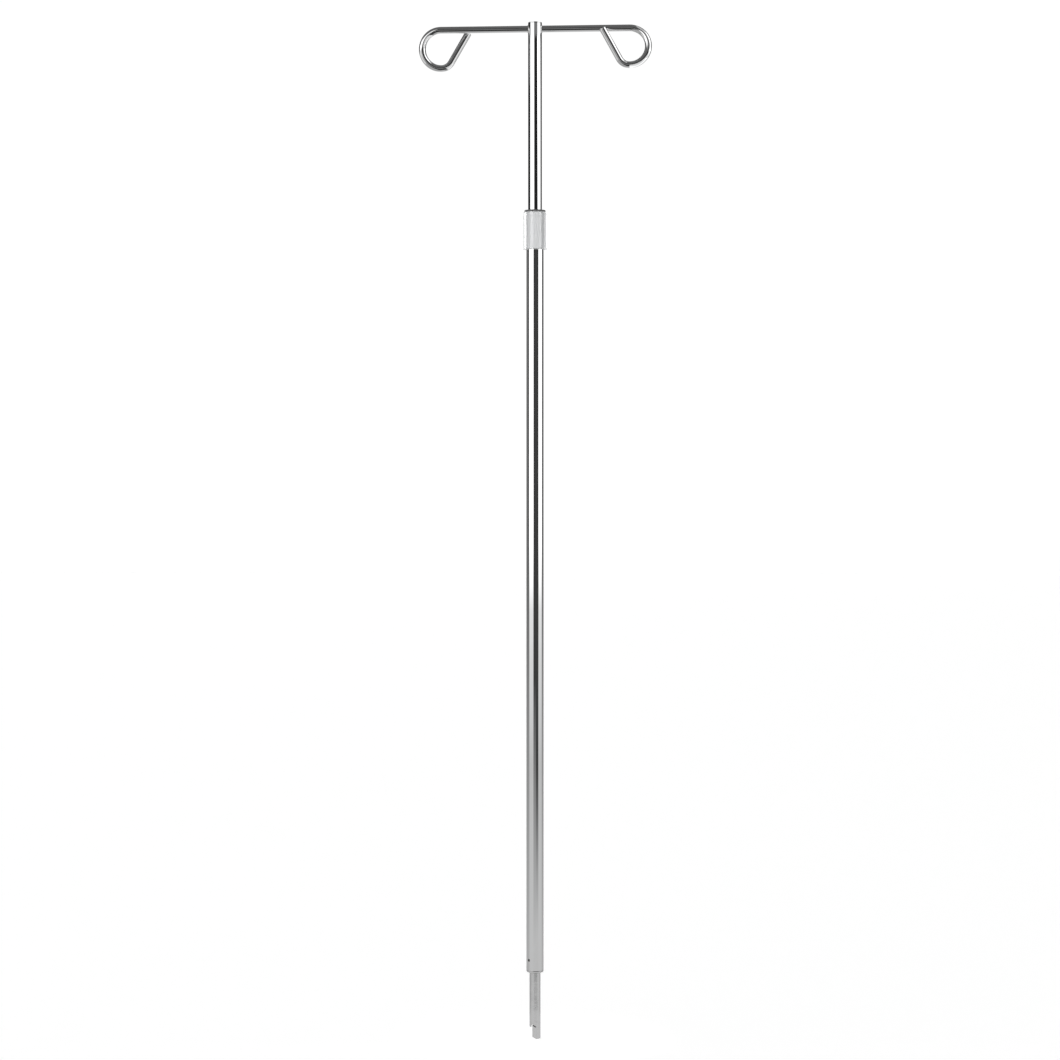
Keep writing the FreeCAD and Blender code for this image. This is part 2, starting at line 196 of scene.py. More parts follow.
# white cards round the hooks: place from the bar's middle, turn about Y (0 faces down), size across and
# along Y, and radiance
HOOK_CARDS = (
    ((-0.90, -0.27, -0.33), -90.0, 0.56, 0.95, 0.35),
    ((0.95, -0.50, -0.25), 90.0, 0.40, 1.60, 0.50),
    ((0.71, -0.60, -0.50), 180.0, 1.16, 2.10, 0.80),
    ((0.75, -0.60, -0.50), 180.0, 1.04, 2.10, 0.60),
    ((0.92, -0.35, 0.75), 0.0, 1.24, 1.30, 0.40),
    ((0.98, -0.35, 0.75), 0.0, 1.08, 1.30, 0.40),
)


# ---------------------------------------------------------------- mesh helpers

def piece_from(name, verts, faces):
    """A smooth piece with sharp creases kept, normals outwards."""
    mesh = bpy.data.meshes.new(name)
    mesh.from_pydata(verts, [], faces)
    tidy = bmesh.new()
    tidy.from_mesh(mesh)
    bmesh.ops.recalc_face_normals(tidy, faces=tidy.faces)
    tidy.to_mesh(mesh)
    tidy.free()
    mesh.shade_smooth()
    mesh.set_sharp_from_angle(angle=SHARP)
    piece = bpy.data.objects.new(name, mesh)
    bpy.context.scene.collection.objects.link(piece)
    return piece


def corner_arc(before, corner, after, radius):
    """Points of the arc that rounds one corner of an outline, from tangent point to tangent point."""
    back = (before - corner).normalized()
    ahead = (after - corner).normalized()
    half = back.angle(ahead) / 2
    centre = corner + (back + ahead).normalized() * (radius / math.sin(half))
    reach = radius / math.tan(half)
    start = corner + back * reach - centre
    end = corner + ahead * reach - centre
    first = math.atan2(start.y, start.x)
    swing = math.remainder(math.atan2(end.y, end.x) - first, 2 * math.pi)
    count = max(2, math.ceil(abs(swing) / ARC_STEP))
    angles = [first + swing * i / count for i in range(count + 1)]
    return [centre + Vector((math.cos(a), math.sin(a))) * radius for a in angles]


def outline(corners):
    """A closed (r, z) outline from corners (r, z, rounding); long runs get support points near their ends."""
    places = [Vector((r, z)) for r, z, _ in corners]
    arcs = []
    for i, (_, _, rounding) in enumerate(corners):
        if rounding > 0:
            arcs.append(corner_arc(places[i - 1], places[i], places[(i + 1) % len(places)], rounding))
        else:
            arcs.append([places[i]])
    points = []
    for i, arc in enumerate(arcs):
        points += arc
        run = arcs[(i + 1) % len(arcs)][0] - arc[-1]
        if run.length > 4 * SUPPORT:
            way = run.normalized() * SUPPORT
            points += [arc[-1] + way, arc[-1] + run - way]
    return [(p.x, p.y) for p in points]


def lathe_faces(rings, skipped=()):
    """Faces between neighbouring rings of a closed outline; a ring of one vertex is a pole."""
    faces = []
    for k, ring in enumerate(rings):
        other = rings[(k + 1) % len(rings)]
        steps = max(len(ring), len(other))
        for i in range(steps):
            if steps == 1 or (k, i) in skipped:
                continue
            j = (i + 1) % steps
            if len(ring) == 1:
                faces.append((ring[0], other[j], other[i]))
            elif len(other) == 1:
                faces.append((ring[i], ring[j], other[0]))
            else:
                faces.append((ring[i], ring[j], other[j], other[i]))
    return faces


def lathe_rings(points, steps, turn=0.0):
    """Vertices and rings of an outline turned about Z."""
    verts = []
    rings = []
    for r, z in points:
        if r < SAME:
            rings.append([len(verts)])
            verts.append((0.0, 0.0, z))
            continue
        rings.append(list(range(len(verts), len(verts) + steps)))
        for i in range(steps):
            a = turn + 2 * math.pi * i / steps
            verts.append((r * math.cos(a), r * math.sin(a), z))
    return verts, rings


def lathe(name, corners, steps=ROUND_STEPS):
    """A turned piece from its closed outline."""
    verts, rings = lathe_rings(outline(corners), steps)
    return piece_from(name, verts, lathe_faces(rings))


# the grid round a hole: rows up the wall, and how far out from the rim to the patch's edge each belt lies
HOLE_ROWS = 10
HOLE_BELTS = (0.0, 0.12, 0.35, 0.65)


def pierced_tube(name, outer_r, wall, foot, top, hole_r, hole_z, hole_turn, half_patch, columns):
    """A tube with a round hole through both of its sides, at hole_z along the direction hole_turn.

    The walls are plain rings apart from a patch at each hole, where belts of faces run from the grid's
    square boundary to the hole's circle, all on the wall's own cylinder.
    """
    steps = ROUND_STEPS
    inner_r = outer_r - wall
    rows = [hole_z + half_patch * (2 * i / HOLE_ROWS - 1) for i in range(HOLE_ROWS + 1)]
    lip = EDGE
    foot_arc = corner_arc(Vector((inner_r, foot)), Vector((outer_r, foot)), Vector((outer_r, top)), lip)
    top_arc = corner_arc(Vector((outer_r, foot)), Vector((outer_r, top)), Vector((inner_r, top)), lip)
    outer = [(p.x, p.y) for p in foot_arc] + [(outer_r, foot + lip + SUPPORT)]
    first_outer = len(outer)
    outer += [(outer_r, z) for z in rows] + [(outer_r, top - lip - SUPPORT)]
    outer += [(p.x, p.y) for p in top_arc]
    inner = [(inner_r, top), (inner_r, top - SUPPORT)]
    first_inner = len(outer) + len(inner)
    inner += [(inner_r, z) for z in reversed(rows)] + [(inner_r, foot + SUPPORT), (inner_r, foot)]
    verts, rings = lathe_rings(outer + inner, steps, hole_turn)
    half = columns // 2
    skipped = set()
    for centre in (0, steps // 2):
        for k in range(HOLE_ROWS):
            for c in range(-half, half):
                skipped.add((first_outer + k, (centre + c) % steps))
                skipped.add((first_inner + k, (centre + c) % steps))
    faces = lathe_faces(rings, skipped)
    for centre in (0, steps // 2):
        side = hole_turn + 2 * math.pi * centre / steps
        rims = []
        for first, radius, upwards in ((first_outer, outer_r, True), (first_inner, inner_r, False)):
            low = first if upwards else first + HOLE_ROWS
            step = 1 if upwards else -1
            loop = [(low, c) for c in range(-half, half)]
            loop += [(low + step * k, half) for k in range(HOLE_ROWS)]
            loop += [(low + step * HOLE_ROWS, c) for c in range(half, -half, -1)]
            loop += [(low + step * k, -half) for k in range(HOLE_ROWS, 0, -1)]
            edge = [rings[k][(centre + c) % steps] for k, c in loop]
            belts = [[] for _ in HOLE_BELTS]
            for index in edge:
                x, y, z = verts[index]
                swing = math.remainder(math.atan2(y, x) - side, 2 * math.pi)
                across, up = radius * math.sin(swing), z - hole_z
                reach = math.hypot(across, up)
                rim_swing = math.asin(hole_r * across / reach / radius)
                rim_up = hole_r * up / reach
                for belt, share in zip(belts, HOLE_BELTS):
                    a = side + rim_swing + (swing - rim_swing) * share
                    belt.append(len(verts))
                    verts.append((radius * math.cos(a), radius * math.sin(a),
                                  hole_z + rim_up + (up - rim_up) * share))
            loops = belts + [edge]
            for near, far in zip(loops, loops[1:]):
                for i in range(len(edge)):
                    j = (i + 1) % len(edge)
                    faces.append((near[i], near[j], far[j], far[i]))
            rims.append(belts[0])
        for i in range(len(rims[0])):
            j = (i + 1) % len(rims[0])
            faces.append((rims[0][i], rims[0][j], rims[1][j], rims[1][i]))
    return piece_from(name, verts, faces)


def sweep(name, stations, steps):
    """A round bar through stations (centre, tangent, radius); a station of radius 0 closes an end."""
    verts = []
    rings = []
    side = stations[0][1].orthogonal().normalized()
    for centre, tangent, radius in stations:
        side = (side - tangent * side.dot(tangent)).normalized()
        other = tangent.cross(side)
        if radius <= 0:
            rings.append([len(verts)])
            verts.append(centre)
            continue
        rings.append(list(range(len(verts), len(verts) + steps)))
        for i in range(steps):
            a = 2 * math.pi * i / steps
            verts.append(centre + (side * math.cos(a) + other * math.sin(a)) * radius)
    faces = []
    for ring, after in zip(rings, rings[1:]):
        faces += lathe_faces([ring, after])[:steps]
    return piece_from(name, verts, faces)


def end_stations(tip, way, radius, rounding):
    """Stations of a bar's rounded end, from its rim inwards to the end's middle; way points out of it."""
    found = []
    for i in range(END_STEPS + 1):
        a = math.pi / 2 * i / END_STEPS
        along = rounding * (math.sin(a) - 1)
        found.append((tip + way * along, way, radius - rounding * (1 - math.cos(a))))
    found.append((tip, way, (radius - rounding) * 0.5))
    found.append((tip, way, 0.0))
    return found


# ---------------------------------------------------------------- pieces

def make_lower_tube():
    """The outer tube, with the roll pin's hole through both of its sides."""
    piece = pierced_tube("lower_tube_fine", LOWER_R, LOWER_WALL, LOWER_FOOT, LOWER_TOP,
                         ROLL_PIN_R, ROLL_PIN_Z, ROLL_PIN_TURN, half_patch=4.0 * MM, columns=12)
    return dress(piece, "lower_mast", "chrome_tube", "lower_tube")


def make_upper_tube():
    """The inner tube, with the rod's hole through both of its sides."""
    piece = pierced_tube("upper_tube_fine", UPPER_R, UPPER_WALL, UPPER_FOOT, UPPER_TOP,
                         ROD_HOLE_R, ROD_Z, 0.0, half_patch=6.6 * MM, columns=28)
    return dress(piece, "upper_mast", "chrome_tube", "upper_tube")


def make_top_cap():
    """The cap on the upper tube, with its stem in the bore."""
    stem = UPPER_R - UPPER_WALL - PUSH_FIT
    corners = [(0, CAP_FOOT, 0), (stem, CAP_FOOT, EDGE), (stem, UPPER_TOP, 0),
               (UPPER_R, UPPER_TOP, 0.1 * MM), (UPPER_R, CAP_TOP, CAP_ROUND), (0, CAP_TOP, 0)]
    return dress(lathe("top_cap", corners), "upper_mast", "turned_steel", "top_plug")


def hook_stations(side):
    """Stations of one hook from the end of the straight bar to the free end, which leans past the bar."""
    travel = 2 * LOOP_R + RETURN_R * (1 - math.cos(RETURN_TURN)) + LEG_LENGTH * math.sin(RETURN_TURN)
    lean = math.asin(FREE_END_OFFSET / travel)
    out = Vector((side, 0, 0))
    down = Vector((0, -side * math.sin(lean), -math.cos(lean)))
    up = Vector((0, -side * math.sin(lean), math.cos(lean)))
    start = Vector((side * LOOP_X, 0, ROD_Z))
    bottom = start + down * (2 * LOOP_R)
    found = []
    for i in range(LOOP_STEPS + 1):
        a = math.pi * i / LOOP_STEPS
        found.append((start + out * (LOOP_R * math.sin(a)) + down * (LOOP_R * (1 - math.cos(a))),
                      out * math.cos(a) + down * math.sin(a), ROD_R))
    for i in range(1, RETURN_STEPS + 1):
        a = RETURN_TURN * i / RETURN_STEPS
        found.append((bottom - out * (RETURN_R * math.sin(a)) + up * (RETURN_R * (1 - math.cos(a))),
                      up * math.sin(a) - out * math.cos(a), ROD_R))
    leg_foot, way, _ = found[-1]
    found.append((leg_foot + way * SUPPORT, way, ROD_R))
    tip = leg_foot + way * LEG_LENGTH
    found.append((tip - way * (FREE_END_ROUND + SUPPORT), way, ROD_R))
    return found + end_stations(tip, way, ROD_R, FREE_END_ROUND)


def make_hook_bar():
    """The one bent rod: the left hook, the straight bar and the right hook."""
    left = [(centre, -way, radius) for centre, way, radius in reversed(hook_stations(-1))]
    along = Vector((1, 0, 0))
    bar = [(Vector((x, 0, ROD_Z)), along, ROD_R) for x in (-LOOP_X + SUPPORT, LOOP_X - SUPPORT)]
    piece = sweep("hook_bar_fine", left + bar + hook_stations(1), ROD_STEPS)
    return dress(piece, "upper_mast", "chrome_rod", "hook_bar")


def make_hook_welds():
    """A rippled bead round each join, following the saddle where the rod meets the tube."""
    verts = []
    faces = []
    for side in (1, -1):
        rings = []
        for i in range(WELD_STEPS):
            t = 2 * math.pi * i / WELD_STEPS
            phase = (i * WELD_RIPPLES / WELD_STEPS) % 1.0
            leg = WELD_LEG * (0.9 + 0.1 * math.sqrt(phase) + 0.05 * math.sin(3 * t + side))
            ring = []
            for k in range(WELD_SECTION + 1):
                a = math.pi / 2 * k / WELD_SECTION
                ring.append((ROD_R + leg * math.cos(a), leg * math.sin(a)))
            ring.append((ROD_R - WELD_ROOT, leg * 0.9))
            ring.append((ROD_R - WELD_ROOT, -WELD_ROOT))
            ring.append((ROD_R + leg * 0.9, -WELD_ROOT))
            first = len(verts)
            for reach, rise in ring:
                y = reach * math.cos(t)
                x = math.sqrt(UPPER_R ** 2 - y ** 2) + rise
                verts.append((side * x, y, ROD_Z + reach * math.sin(t)))
            rings.append(list(range(first, len(verts))))
        for ring, after in zip(rings, rings[1:] + rings[:1]):
            for k in range(len(ring)):
                j = (k + 1) % len(ring)
                faces.append((ring[k], ring[j], after[j], after[k]))
    return dress(piece_from("hook_weld_beads", verts, faces), "upper_mast", "weld_bead", "hook_welds")


def make_collar():
    """The collar's shell: a cup that is open below, with the circlip's recess in its roof."""
    inner = COLLAR_R - COLLAR_WALL
    roof = COLLAR_TOP - COLLAR_ROOF
    corners = [(inner, COLLAR_FOOT, 0.2 * MM), (COLLAR_R, COLLAR_FOOT, 0.45 * MM),
               (COLLAR_R, COLLAR_TOP, COLLAR_ROUND), (CLIP_RECESS_R, COLLAR_TOP, 0.15 * MM),
               (CLIP_RECESS_R, COLLAR_TOP - CLIP_RECESS, 0), (COLLAR_NECK_R, COLLAR_TOP - CLIP_RECESS, 0),
               (COLLAR_NECK_R, roof, 0), (inner, roof, 0.6 * MM)]
    shell = lathe("collar_shell", corners, COLLAR_STEPS)
    return dress(shell, "collar", "collar_plastic", "release_collar")


def make_base_ring():
    """The ring that closes the collar's foot."""
    outer = COLLAR_R - COLLAR_WALL - PUSH_FIT
    corners = [(BASE_RING_BORE_R, COLLAR_FOOT, 0.3 * MM), (outer, COLLAR_FOOT, 0.2 * MM),
               (outer, BASE_RING_TOP, 0.2 * MM), (BASE_RING_BORE_R, BASE_RING_TOP, 0.3 * MM)]
    return dress(lathe("collar_foot_ring", corners), "collar", "collar_plastic", "collar_base_ring")


def make_wiper():
    """The wiper on the collar, whose mouth slopes down to its bore."""
    corners = [(WIPER_BORE_R, COLLAR_TOP, 0.2 * MM), (WIPER_R, COLLAR_TOP, 0.15 * MM),
               (WIPER_R, WIPER_TOP, 0.3 * MM), (WIPER_MOUTH_R, WIPER_TOP, 0.2 * MM),
               (WIPER_BORE_R, WIPER_TOP - WIPER_MOUTH_DEPTH, 0.15 * MM)]
    return dress(lathe("wiper_lip", corners), "collar", "wiper_rubber", "wiper_ring")


def make_spring():
    """Compression spring of tilted half turns, on a mesh of its own."""
    rise = (SPRING_TOP - SPRING_FOOT - 2 * SPRING_WIRE_R) / SPRING_HALF_TURNS
    path = []
    for i in range(SPRING_HALF_TURNS):
        side = 1 if i % 2 == 0 else -1
        middle = SPRING_FOOT + SPRING_WIRE_R + rise * (i + 0.5)
        for k in range(HALF_TURN_STEPS + (i == SPRING_HALF_TURNS - 1)):
            a = math.pi * k / HALF_TURN_STEPS
            out = side * math.cos(a)
            centre = Vector((SPRING_R * out, SPRING_R * side * math.sin(a), middle - rise / 2 * math.cos(a)))
            way = Vector((-SPRING_R * side * math.sin(a), SPRING_R * out, rise / 2 * math.sin(a)))
            path.append((centre, way.normalized(), SPRING_WIRE_R))
    first, last = path[0], path[-1]
    stations = [(first[0], first[1], 0.0)] + path + [(last[0], last[1], 0.0)]
    coil = sweep("clamp_spring_coil", stations, WIRE_STEPS)
    piece = dress(coil, "lower_mast", "dark_steel", "clamp_spring")
    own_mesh(piece)
    return piece


def make_roll_pin():
    """Slotted spring pin: a C section drawn along the pin, with its rims eased."""
    bore = ROLL_PIN_R - ROLL_PIN_WALL
    reach = math.sqrt(LOWER_R ** 2 - ROLL_PIN_R ** 2)
    fitted_r = ROLL_PIN_R - ROLL_PIN_FIT
    eased_r = ROLL_PIN_R - ROLL_PIN_EASE
    gap = ROLL_PIN_SLOT / 2 / ROLL_PIN_R
    way = Vector((math.cos(ROLL_PIN_TURN), math.sin(ROLL_PIN_TURN), 0))
    aside = Vector((0, 0, 1)).cross(way)
    up = Vector((0, 0, 1))
    count = ROLL_PIN_STEPS
    verts = []
    faces = []
    rings = []
    for along, outer in ((-reach, eased_r), (-reach + ROLL_PIN_EASE, fitted_r),
                         (reach - ROLL_PIN_EASE, fitted_r), (reach, eased_r)):
        ring = []
        for radius, order in ((outer, range(count + 1)), (bore, range(count, -1, -1))):
            for i in order:
                a = math.pi / 2 + gap + (2 * math.pi - 2 * gap) * i / count
                ring.append(len(verts))
                place = way * along + up * (ROLL_PIN_Z + radius * math.sin(a))
                verts.append(place + aside * (radius * math.cos(a)))
        rings.append(ring)
    for ring, after in zip(rings, rings[1:]):
        for k in range(len(ring)):
            j = (k + 1) % len(ring)
            faces.append((ring[k], ring[j], after[j], after[k]))
    for ring in (rings[0], rings[-1]):
        for k in range(count):
            faces.append((ring[k], ring[k + 1], ring[2 * count - k], ring[2 * count + 1 - k]))
    return dress(piece_from("roll_pin", verts, faces), "lower_mast", "dark_steel", "spigot_roll_pin")


def prism(verts_2d, depth):
    """A closed mesh: an (x, z) outline drawn along Y, centred on y = 0."""
    made = bmesh.new()
    ends = [[made.verts.new((x, y, z)) for x, z in verts_2d] for y in (-depth, depth)]
    made.faces.new(ends[0])
    made.faces.new(reversed(ends[1]))
    for i in range(len(verts_2d)):
        j = (i + 1) % len(verts_2d)
        made.faces.new((ends[0][i], ends[1][i], ends[1][j], ends[0][j]))
    bmesh.ops.recalc_face_normals(made, faces=made.faces)
    return made


def tongue_cutter():
    """What is milled off the tip, as one outline: the flat, its top shelf, the pin seat and the corner."""
    shelf = math.asin((TONGUE_TOP - PIN_SEAT_Z) / PIN_SEAT_R)
    start = math.pi - shelf
    flat_reach = TONGUE_FLAT_X - PIN_SEAT_X
    stop = -math.acos(flat_reach / PIN_SEAT_R)
    clear = 4 * SPIGOT_R
    points = [(-clear, TONGUE_TOP)]
    for i in range(PIN_SEAT_STEPS + 1):
        a = start + (stop - start) * i / PIN_SEAT_STEPS
        points.append((PIN_SEAT_X + PIN_SEAT_R * math.cos(a), PIN_SEAT_Z + PIN_SEAT_R * math.sin(a)))
    below = TIP - SPIGOT_R
    points += [(TONGUE_FLAT_X, TIP + TONGUE_CORNER), (TONGUE_FLAT_X + TONGUE_CORNER, TIP),
               (TONGUE_FLAT_X + TONGUE_CORNER, below), (-clear, below)]
    cutter = prism(points, clear)
    bmesh.ops.rotate(cutter, verts=cutter.verts, matrix=Matrix.Rotation(TONGUE_TURN, 3, "Z"))
    mesh = bpy.data.meshes.new("tongue_cutter")
    cutter.to_mesh(mesh)
    cutter.free()
    tool = bpy.data.objects.new("tongue_cutter", mesh)
    bpy.context.scene.collection.objects.link(tool)
    return tool


def make_spigot():
    """Turned foot, with close rings over the tip so that the milled edges stay clean."""
    plug_r = LOWER_R - LOWER_WALL - PUSH_FIT
    corners = [(0, PLUG_TOP, 0), (plug_r, PLUG_TOP, 1.0 * MM), (plug_r, LOWER_FOOT, 0),
               (LOWER_R, LOWER_FOOT, 0.12 * MM), (LOWER_R, 0, SHOULDER_ROUND),
               (SPIGOT_R + SPIGOT_FILLET, 0, 0), (SPIGOT_R, -SPIGOT_FILLET, 0.15 * MM),
               (SPIGOT_R, TIP + SPIGOT_CHAMFER, 0),
               (SPIGOT_R - SPIGOT_CHAMFER, TIP, 0), (0, TIP, 0)]
    milled_rows = [MILLED_RINGS_TOP - MILLED_RING_STEP * k for k in range(MILLED_RINGS)]
    points = []
    closed = outline(corners)
    for (r, z), (r_after, z_after) in zip(closed, closed[1:]):
        points.append((r, z))
        if abs(r - r_after) < SAME and abs(r - SPIGOT_R) < SAME:
            points += [(r, row) for row in milled_rows if z_after + SUPPORT < row < z - SUPPORT]
    points.append(closed[-1])
    verts, rings = lathe_rings(points, SPIGOT_STEPS)
    piece = piece_from("spigot_fine", verts, lathe_faces(rings))
    tool = tongue_cutter()
    cut = piece.modifiers.new("milled_tongue", "BOOLEAN")
    cut.operation = "DIFFERENCE"
    cut.solver = "EXACT"
    cut.object = tool
    graph = bpy.context.evaluated_depsgraph_get()
    milled = bpy.data.meshes.new_from_object(piece.evaluated_get(graph))
    piece.modifiers.remove(cut)
    piece.data = milled
    bpy.data.objects.remove(tool)
    milled.shade_smooth()
    milled.set_sharp_from_angle(angle=SHARP)
    edges = piece.modifiers.new("eased_edges", "BEVEL")
    edges.width = MILLED_EDGE
    edges.segments = 3
    edges.limit_method = "ANGLE"
    edges.angle_limit = math.radians(40)
    edges.harden_normals = True
    return dress(piece, "lower_mast", "turned_steel", "spigot")


# ---------------------------------------------------------------- materials

def put(tree, socket, value):
    """Links a socket to another, or sets its value."""
    if isinstance(value, bpy.types.NodeSocket):
        tree.links.new(value, socket)
    else:
        socket.default_value = value


def maths(tree, operation, *values):
    """One step of arithmetic on sockets and numbers."""
    node = tree.nodes.new("ShaderNodeMath")
    node.operation = operation
    for socket, value in zip(node.inputs, values):
        put(tree, socket, value)
    return node.outputs[0]


def noise(tree, place, scale, stretch=(1, 1, 1), detail=4.0, roughness=0.55, turn=(0, 0, 0)):
    """Noise in the object's own space, stretched along its axes."""
    mapping = tree.nodes.new("ShaderNodeMapping")
    mapping.inputs["Scale"].default_value = stretch
    mapping.inputs["Rotation"].default_value = turn
    tree.links.new(place, mapping.inputs["Vector"])
    texture = tree.nodes.new("ShaderNodeTexNoise")
    texture.inputs["Scale"].default_value = scale
    texture.inputs["Detail"].default_value = detail
    texture.inputs["Roughness"].default_value = roughness
    tree.links.new(mapping.outputs[0], texture.inputs["Vector"])
    return texture.outputs["Fac"]


def ranged(tree, value, low, high, to_low=0.0, to_high=1.0, smooth=True):
    """Maps a value from one range to another, clamped."""
    node = tree.nodes.new("ShaderNodeMapRange")
    node.interpolation_type = "SMOOTHSTEP" if smooth else "LINEAR"
    put(tree, node.inputs["Value"], value)
    node.inputs["From Min"].default_value = low
    node.inputs["From Max"].default_value = high
    node.inputs["To Min"].default_value = to_low
    node.inputs["To Max"].default_value = to_high
    return node.outputs["Result"]


def blend_colours(tree, share, first, second):
    """Mixes two colours; inputs 6 and 7 and output 2 are the Mix node's colour sockets."""
    node = tree.nodes.new("ShaderNodeMix")
    node.data_type = "RGBA"
    put(tree, node.inputs[0], share)
    put(tree, node.inputs[6], first)
    put(tree, node.inputs[7], second)
    return node.outputs[2]


def bump(tree, height, distance, strength=1.0, under=None):
    """Relief of a height in metres, laid over another normal."""
    node = tree.nodes.new("ShaderNodeBump")
    node.inputs["Strength"].default_value = strength
    node.inputs["Distance"].default_value = distance
    put(tree, node.inputs["Height"], height)
    if under is not None:
        tree.links.new(under, node.inputs["Normal"])
    return node.outputs["Normal"]


def start_material(name, **constants):
    """A material with a Principled shader, whose constant values are set on its own sockets."""
    material = bpy.data.materials.new(name)
    material.use_nodes = True
    tree = material.node_tree
    shader = tree.nodes["Principled BSDF"]
    for key, value in constants.items():
        shader.inputs[key.replace("_", " ")].default_value = value
    place = tree.nodes.new("ShaderNodeTexCoord").outputs["Object"]
    return material, tree, shader, place


def shade(tree, shader, colour, roughness, normal):
    """Gives a Principled shader its three varying values."""
    put(tree, shader.inputs["Base Color"], colour)
    put(tree, shader.inputs["Roughness"], roughness)
    put(tree, shader.inputs["Normal"], normal)


def grey(value, tint=0.0):
    """A neutral colour, cooler for a positive tint."""
    return (value * (1 - tint), value, value * (1 + tint), 1)


def polished(name, along, bright, dull, base_rough):
    """Mirror-polished steel: fine drawing lines along the bar, hairline scratches and wipe marks."""
    material, tree, shader, place = start_material(name, Metallic=1.0)
    lines = noise(tree, place, 2600, along, 3.0, 0.6)
    hairs = noise(tree, place, 1100, (1, 1, 0.03), 2.0, 0.5, (0.2, 0.15, 0.0))
    scratch = ranged(tree, hairs, 0.68, 0.72)
    wipes = noise(tree, place, 22, (1, 1, 0.35), 6.0, 0.62)
    smear = ranged(tree, wipes, 0.45, 0.7)
    rough = maths(tree, "ADD", base_rough, maths(tree, "MULTIPLY", smear, 0.008))
    rough = maths(tree, "ADD", rough, maths(tree, "MULTIPLY", scratch, 0.006))
    rough = maths(tree, "ADD", rough, ranged(tree, lines, 0.3, 0.7, 0.0, 0.004))
    colour = blend_colours(tree, smear, grey(bright, 0.004), grey(dull, 0.0))
    surface = bump(tree, lines, 1 * MICRON, 0.1)
    shade(tree, shader, colour, rough, surface)
    return material


def turned(name, bright, dull, low_rough, high_rough, tint=0.0):
    """Turned steel: fine rings about Z, a softer sheen, and small stains."""
    material, tree, shader, place = start_material(name, Metallic=1.0)
    rings = noise(tree, place, 1500, (0.03, 0.03, 1), 3.0, 0.55)
    grain = noise(tree, place, 3200, (1, 1, 1), 2.0, 0.5)
    stain = noise(tree, place, 60, (1, 1, 0.7), 6.0, 0.6)
    patch = ranged(tree, stain, 0.4, 0.66)
    colour = blend_colours(tree, patch, grey(bright, tint), grey(dull, tint))
    rough = ranged(tree, rings, 0.25, 0.75, low_rough, high_rough)
    rough = maths(tree, "ADD", rough, maths(tree, "MULTIPLY", patch, 0.04))
    surface = bump(tree, rings, 2 * MICRON, 0.2)
    surface = bump(tree, grain, 1 * MICRON, 0.1, surface)
    shade(tree, shader, colour, rough, surface)
    return material


def weld_metal():
    """Weld polished after welding: bright metal with a soft cloudiness and a trace of heat tint."""
    material, tree, shader, place = start_material("weld_bead", Metallic=1.0)
    cloud = noise(tree, place, 180, (1, 1, 1), 5.0, 0.6)
    grit = noise(tree, place, 2600, (1, 1, 1), 3.0, 0.6)
    tint = blend_colours(tree, ranged(tree, cloud, 0.35, 0.65), (0.8, 0.785, 0.76, 1), (0.77, 0.78, 0.8, 1))
    rough = ranged(tree, grit, 0.3, 0.7, 0.12, 0.22)
    shade(tree, shader, tint, rough, bump(tree, grit, 10 * MICRON, 0.3))
    return material


def moulded_plastic():
    """Light grey gloss plastic: flow marks, orange peel, a mould seam on each side and handling scuffs."""
    material, tree, shader, place = start_material(
        "collar_plastic", IOR=1.5, Coat_Weight=0.35, Coat_Roughness=0.06, Subsurface_Weight=0.25,
        Subsurface_Radius=(0.004, 0.004, 0.0038), Subsurface_Scale=0.6)
    flow = noise(tree, place, 70, (1, 1, 0.2), 4.0, 0.5)
    peel = noise(tree, place, 900, (1, 1, 1), 2.0, 0.5)
    scuff = noise(tree, place, 420, (1, 1, 0.12), 3.0, 0.6, (0.35, 0.2, 0.4))
    scuffed = ranged(tree, scuff, 0.62, 0.7)
    split = tree.nodes.new("ShaderNodeSeparateXYZ")
    tree.links.new(place, split.inputs[0])
    seam = ranged(tree, maths(tree, "ABSOLUTE", split.outputs["Y"]), 0.0, 0.00022, 1.0, 0.0)
    colour = blend_colours(tree, ranged(tree, flow, 0.3, 0.7), (0.54, 0.55, 0.56, 1), (0.515, 0.525, 0.53, 1))
    rough = ranged(tree, flow, 0.3, 0.7, 0.16, 0.22)
    rough = maths(tree, "ADD", rough, maths(tree, "MULTIPLY", scuffed, 0.1))
    surface = bump(tree, peel, 12 * MICRON, 0.5)
    surface = bump(tree, seam, 50 * MICRON, 0.8, surface)
    surface = bump(tree, scuffed, 6 * MICRON, 0.4, surface)
    shade(tree, shader, colour, rough, surface)
    return material


def rubber():
    """Dark grey elastomer with a fine grain and a dusty bloom."""
    material, tree, shader, place = start_material("wiper_rubber", IOR=1.5, Sheen_Weight=0.15)
    grain = noise(tree, place, 2400, (1, 1, 1), 3.0, 0.6)
    bloom = noise(tree, place, 160, (1, 1, 1), 5.0, 0.6)
    colour = blend_colours(tree, ranged(tree, bloom, 0.4, 0.7), grey(0.11), grey(0.16))
    rough = ranged(tree, grain, 0.3, 0.7, 0.35, 0.55)
    shade(tree, shader, colour, rough, bump(tree, grain, 20 * MICRON, 0.5))
    return material


def acetal():
    """Natural acetal: creamy, slightly translucent, with turning marks."""
    material, tree, shader, place = start_material(
        "bush_plastic", IOR=1.48, Subsurface_Weight=0.3, Subsurface_Radius=(0.003, 0.0028, 0.0022))
    marks = noise(tree, place, 1200, (0.04, 0.04, 1), 4.0, 0.6)
    cloud = noise(tree, place, 90, (1, 1, 1), 4.0, 0.55)
    clouded = ranged(tree, cloud, 0.35, 0.65)
    colour = blend_colours(tree, clouded, (0.8, 0.785, 0.72, 1), (0.74, 0.72, 0.65, 1))
    rough = ranged(tree, marks, 0.3, 0.7, 0.32, 0.45)
    shade(tree, shader, colour, rough, bump(tree, marks, 15 * MICRON, 0.6))
    return material


